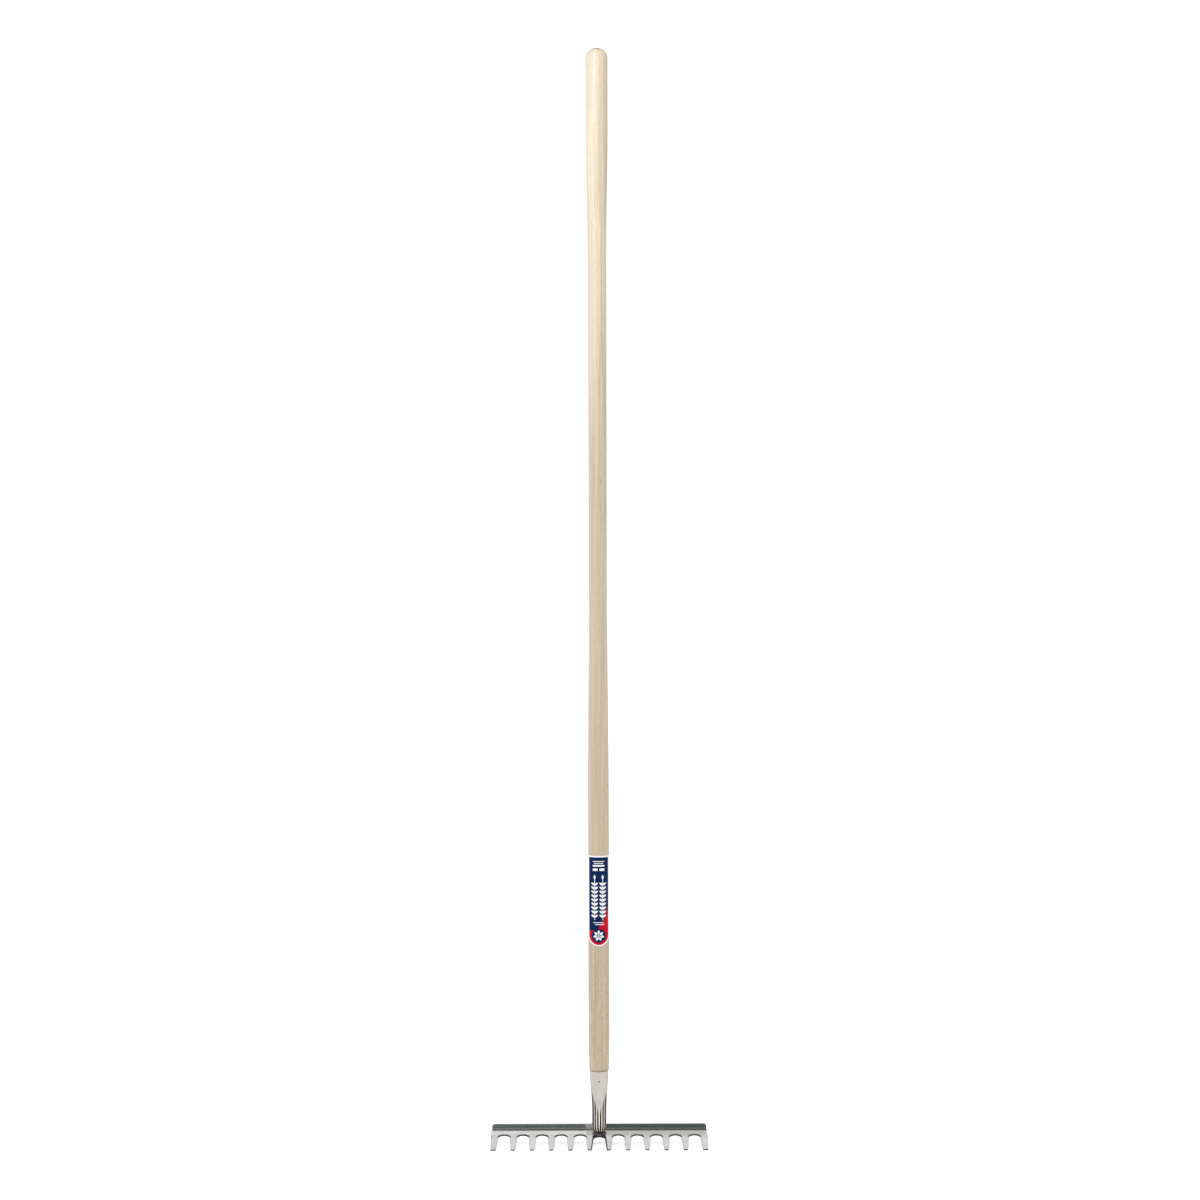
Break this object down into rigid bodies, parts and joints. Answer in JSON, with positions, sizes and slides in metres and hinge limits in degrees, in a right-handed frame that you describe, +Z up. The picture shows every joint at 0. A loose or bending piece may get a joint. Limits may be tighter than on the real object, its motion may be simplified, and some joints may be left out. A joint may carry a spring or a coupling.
{
  "type": "garden soil rake",
  "caption": "Long-handled garden soil rake: turned ash shaft in a fluted stainless socket, welded to a pressed stainless head of short tapered tines with a back flange.",
  "frame": {"origin": "on the handle's axis, halfway along the straight grip at its upper end", "axes": "+Z up along the handle towards its domed end; -Y the way the tines point; X along the head"},
  "size_m": [0.36, 0.0734, 1.815],
  "materials": {
    "ash_wood": "sanded, clear sealed",
    "polished_stainless": "polished",
    "pressed_stainless": "polished, pressed",
    "rivet_steel": "dull",
    "weld_metal": "heat-darkened bead",
    "label_film": "printed gloss film"
  },
  "bodies": {
    "root": {"handle": "ash_wood", "socket": "polished_stainless", "socket_rivet": "rivet_steel", "rake_head": "pressed_stainless", "base_weld": "weld_metal", "flange_welds": "weld_metal", "label": "label_film"}
  },
  "joints": []
}
